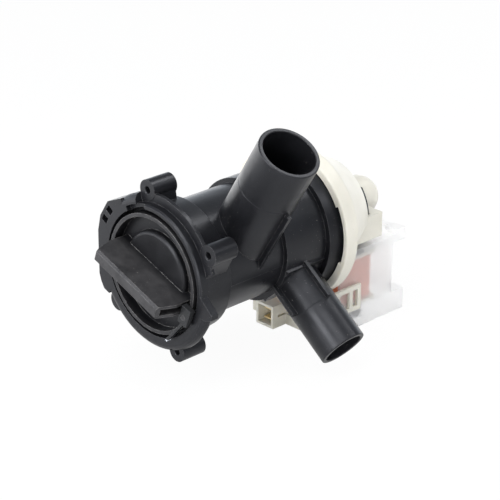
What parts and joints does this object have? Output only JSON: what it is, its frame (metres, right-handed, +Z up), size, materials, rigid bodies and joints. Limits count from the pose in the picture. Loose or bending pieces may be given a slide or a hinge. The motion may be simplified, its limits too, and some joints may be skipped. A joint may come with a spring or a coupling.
{
  "type": "washer drain pump",
  "caption": "Drain pump with a twist-out filter cap, angled inlet and outlet spigots, a bayonet motor with wound coils under a clear cover, and a terminal socket.",
  "frame": {"origin": "centre of the front collar's face, on the pump axis", "axes": "+Y along the pump axis to the motor, +X right and +Z up for someone facing the filter cap"},
  "size_m": [0.1115, 0.1802, 0.137],
  "materials": {
    "housing": "fine grained black moulding",
    "ivory": "ivory moulding",
    "rubber": "matt",
    "bronze": "sintered",
    "steel": "ground",
    "magnet": "matt",
    "drive": "matt",
    "core": "stacked sheets",
    "copper": "enamelled copper wire",
    "clear": "clear",
    "tab": "bright",
    "cap": "fine grained black moulding",
    "seal": "matt",
    "latch": "grey black moulding"
  },
  "bodies": {
    "pump": {"pump_housing": "housing", "motor_flange": "ivory", "bearing_plate": "ivory", "stator_hood": "ivory", "terminal_carrier": "ivory", "bobbin_left": "ivory", "bobbin_right": "ivory", "volute_seal": "rubber", "front_bearing_seat": "rubber", "rear_bearing_seat": "rubber", "shaft_seal": "rubber", "front_bearing": "bronze", "rear_bearing": "bronze", "core_left": "core", "core_right": "core", "stator_yoke": "core", "winding_core_left": "copper", "winding_core_right": "copper", "winding_left": "copper", "winding_right": "copper", "coil_cover": "clear", "terminal_tabs": "tab"},
    "seal_ring": {"filter_seal": "seal"},
    "filter_insert": {"filter_cap": "cap", "filter_cage": "cap"},
    "latch": {"cap_latch": "latch"},
    "rotor": {"rotor_shaft": "steel", "rotor_magnet": "magnet", "rotor_driver": "drive"},
    "impeller": {"impeller": "drive"}
  },
  "joints": [
    {"name": "filter_pull", "type": "slide", "parent": "pump", "child": "seal_ring", "axis": [0, -1, 0], "range_m": [0, 0.1]},
    {"name": "filter_turn", "type": "hinge", "parent": "seal_ring", "child": "filter_insert", "pos_m": [0, 0, 0], "axis": [0, -1, 0], "range_deg": [0, 100]},
    {"name": "latch_flex", "type": "hinge", "parent": "filter_insert", "child": "latch", "pos_m": [0.02777, -0.002, -0.01355], "axis": [0, -1, 0], "range_deg": [-6, 6], "stiffness_Nm_per_rad": 0.05},
    {"name": "rotor_spin", "type": "hinge", "parent": "pump", "child": "rotor", "pos_m": [0, 0.13, 0], "axis": [0, 1, 0], "continuous": true},
    {"name": "impeller_play", "type": "hinge", "parent": "rotor", "child": "impeller", "pos_m": [0, 0.085, 0], "axis": [0, 1, 0], "range_deg": [-125, 125]}
  ]
}
